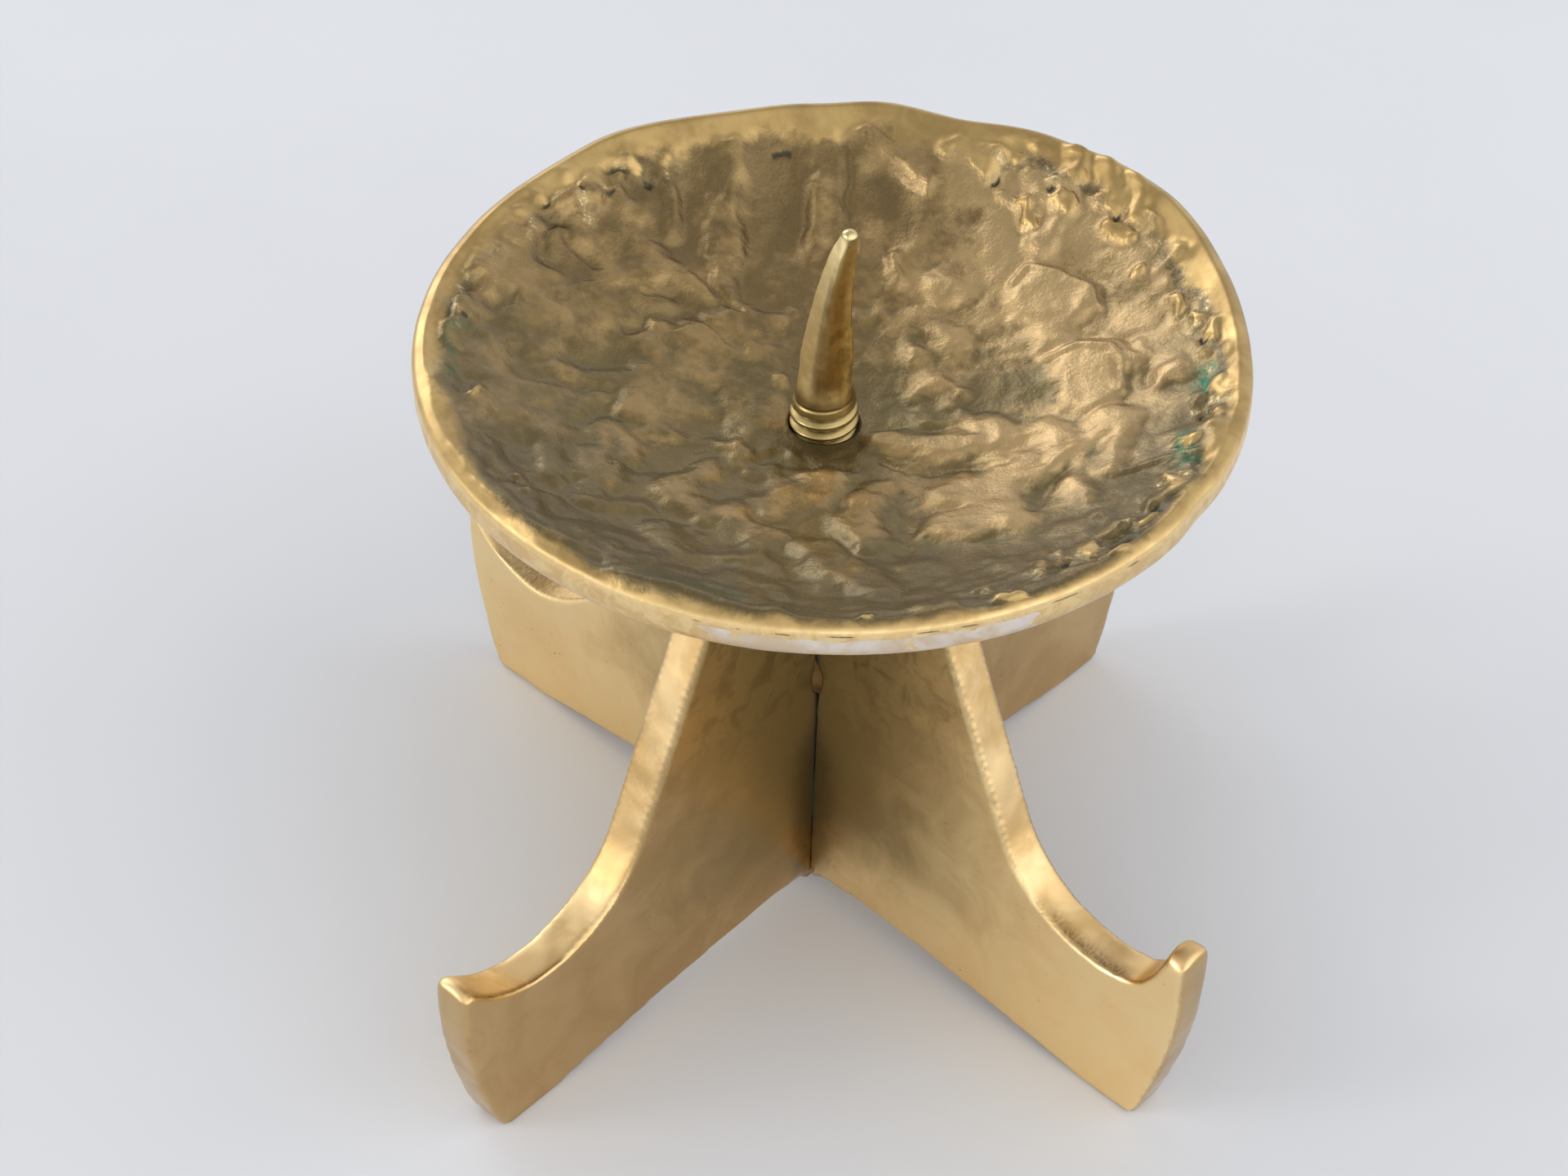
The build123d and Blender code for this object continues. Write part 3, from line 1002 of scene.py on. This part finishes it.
def plate_looks(points, normals, across, band, edge):
    """Say how worn, stained and marked a plate is at each point, and where light and shade are painted
    on it, for its material.
    """
    place = points[:, 1 - across]
    level = points[:, 2]
    reach = np.abs(place)
    beyond = np.maximum(reach - PLATE_HALF, 0)
    # Towards the crossing: partly patina, partly painted shade in the corner between the plates
    near = (1 - smooth(reach, 2, 50)) * smooth(level, 2, 20)
    # Round the joint: partly a brazing stain, partly painted shade
    halo = hump(beyond, 0, 4.6) * smooth(level, 0, 7) * (1 - 0.7 * smooth(level, 22, 34))
    if across == UPPER:
        tooled = smooth(place, 36, 44) * (1 - smooth(place, 51, 54)) * smooth(level, 18, 21)
        tooled *= smooth(-points[:, across], -0.4, 2.2)
        # Painted shade: the instep hollow is painted dark along its band and edges, where the pan's
        # shadow falls
        hollow = hump(place, DIP_PLACE, 9) * smooth(level, 14, 18)
        marks_and_shade = np.maximum(band * tooled, 0.8 * hollow * np.maximum(band, edge))
    else:
        # On the lower plate the middle of the top band is painted darker: painted shade
        marks_and_shade = 0.25 * band * hump(level, 40, 7)
    face = 1 - band
    return {
        "near": near * face,
        "joint": hump(beyond, 0, 0.3) * smooth(level, 9, 16) * face,
        "halo": halo * face,
        "upper": near * smooth(level, 30, 46) * face,
        "band": band * smooth(normals[:, 2], 0.2, 0.45),
        # Painted light on the faces turned towards the light
        "lit": face * smooth(-normals[:, across], 0.3, 0.8),
        "arris": edge,
        "marks_and_shade": marks_and_shade,
    }


def make_plate(node, name, across, material):
    """Wear a leg plate: hollows on its flats, nicked edges, solder at the crossing and uneven toes."""
    mesh, points, normals = even_mesh(node)
    along = 1 - across
    facing = np.abs(normals[:, across])
    edge = smooth(facing, 0.25, 0.5) * (1 - smooth(facing, 0.85, 0.98))
    band = 1 - smooth(facing, 0.3, 0.6)
    hollows = HOLLOW_DEPTH * fractal(points, 18.0, 131, 2)
    nicks = NICK_DEPTH * edge * smooth(fractal(points, 2.6, 141, 3), 0.05, 0.7)
    filed = FILED_DEPTH * band * fractal(points, 3.6, 151, 2)
    points += normals * (hollows - nicks + filed)[:, None]
    beyond = np.maximum(np.abs(points[:, along]) - PLATE_HALF, 0)
    solder = SOLDER_DROP * hump(beyond, 0, SOLDER_SPREAD) + SOLDER_FILM * (1 - smooth(beyond, 4.5, 7.5))
    points[:, 2] -= solder * smooth(-normals[:, 2], 0.3, 0.7) * (points[:, 2] < ARCH_TOP)
    points = work_toes(points, normals, mesh, across)
    if across == UPPER:
        wall = (np.abs(points[:, along]) < SLOT_WALL) * (np.abs(points[:, across]) < PLATE_HALF)
        closed = JOINT_GAP * wall * (1 - 0.45 * smooth(points[:, 2], 17, 23))
        closed *= 1 - smooth(points[:, 2], 33, 36)
        points[:, along] -= closed * np.sign(points[:, along])
    low, high = (np.array(corner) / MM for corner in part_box(node))
    points = np.clip(points, low, high)
    faces = [tuple(p.vertices) for p in mesh.polygons]
    piece = new_piece(name, points, faces, material, "stand", "leg_plate", node)
    add_values(piece, plate_looks(points, normals, across, band, edge))


def make_camera():
    """Stand the camera where the photograph was taken from."""
    height, roll = radians(43.062), radians(1.399)
    away, right_shift, up_shift = 374.27, -3.83, 12.481
    focal_pixels, picture_pixels, sensor = 3659.52, 1920, 36.0
    aim = Vector((0, 0, 33.0))
    back = Vector((sin(PAN_TURN) * cos(height), -cos(PAN_TURN) * cos(height), sin(height)))
    level = Vector((cos(PAN_TURN), sin(PAN_TURN), 0))
    rise = back.cross(level)
    right = cos(roll) * level + sin(roll) * rise
    up = -sin(roll) * level + cos(roll) * rise
    place = (aim + back * away + right * right_shift + up * up_shift) * MM
    lens = bpy.data.cameras.new("photo_camera")
    lens.sensor_fit = "HORIZONTAL"
    lens.sensor_width = sensor
    lens.lens = focal_pixels * sensor / picture_pixels
    lens.clip_start = 0.01
    camera = bpy.data.objects.new("photo_camera", lens)
    camera.matrix_world = Matrix.Translation(place) @ Matrix((right, up, back)).transposed().to_4x4()
    bpy.context.scene.collection.objects.link(camera)
    bpy.context.scene.camera = camera


def make_floor():
    """Lay a plain pale table top."""
    n = Nodes("pale_table")
    cloud = n.noise(120.0, 3, 0.5)
    colour = n.mix(n.remap(cloud, 0.3, 0.7), linear(205, 206, 209), linear(208, 209, 212))
    material = n.finish(colour, 0.9, 0.0)
    n.shader.inputs["Specular IOR Level"].default_value = 0.0
    half = 2.5
    mesh = bpy.data.meshes.new("table_top")
    corners = [(-half, -half, 0), (half, -half, 0), (half, half, 0), (-half, half, 0)]
    mesh.from_pydata(corners, [], [(0, 1, 2, 3)])
    mesh.materials.append(material)
    floor = bpy.data.objects.new("table_top", mesh)
    bpy.context.scene.collection.objects.link(floor)


def heading_vector(heading, height):
    """Point a heading in the pan's axes and a height above the floor, both in degrees."""
    turn = radians(heading) + PAN_TURN
    rise = radians(height)
    return Vector((cos(turn) * cos(rise), sin(turn) * cos(rise), sin(rise)))


def make_window():
    """Add a square soft lamp that looks at the stand from the left."""
    place = heading_vector(*WINDOW_PLACE) * WINDOW_DISTANCE
    lamp = bpy.data.lights.new("window", "AREA")
    lamp.shape = "SQUARE"
    lamp.size = WINDOW_SIZE
    lamp.energy = WINDOW_POWER
    lamp.color = WINDOW_COLOUR
    piece = bpy.data.objects.new("window", lamp)
    piece.matrix_world = Matrix.Translation(place) @ place.to_track_quat("Z", "Y").to_matrix().to_4x4()
    bpy.context.scene.collection.objects.link(piece)


def make_room():
    """Light a pale room softly and evenly, with a few broad glows."""
    world = bpy.data.worlds.new("soft_room")
    bpy.context.scene.world = world
    world.use_nodes = True
    nodes, links = world.node_tree.nodes, world.node_tree.links
    background = nodes["Background"]
    background.inputs["Color"].default_value = ROOM_COLOUR
    direction = nodes.new("ShaderNodeTexCoord").outputs["Generated"]
    total = None
    for heading, height, spread, gain in ROOM_GLOWS:
        towards = nodes.new("ShaderNodeVectorMath")
        towards.operation = "DOT_PRODUCT"
        towards.inputs[1].default_value = heading_vector(heading, height)
        links.new(direction, towards.inputs[0])
        glow = nodes.new("ShaderNodeMapRange")
        glow.interpolation_type = "SMOOTHSTEP"
        for socket, amount in zip(list(glow.inputs)[1:5], (cos(radians(spread)), 1.0, 0.0, gain)):
            socket.default_value = amount
        links.new(towards.outputs["Value"], glow.inputs["Value"])
        added = nodes.new("ShaderNodeMath")
        added.operation = "ADD"
        added.inputs[1].default_value = ROOM_LEVEL
        if total:
            links.new(total, added.inputs[1])
        links.new(glow.outputs["Result"], added.inputs[0])
        total = added.outputs["Value"]
    links.new(total, background.inputs["Strength"])


make_camera()
make_floor()
make_room()
make_window()
bpy.context.scene.view_settings.view_transform = "Standard"
leg_brass = leg_material()
make_pan()
make_pricket()
make_plate("leg_plate_lower", "worn_leg_lower", LOWER, leg_brass)
make_plate("leg_plate_upper", "worn_leg_upper", UPPER, leg_brass)
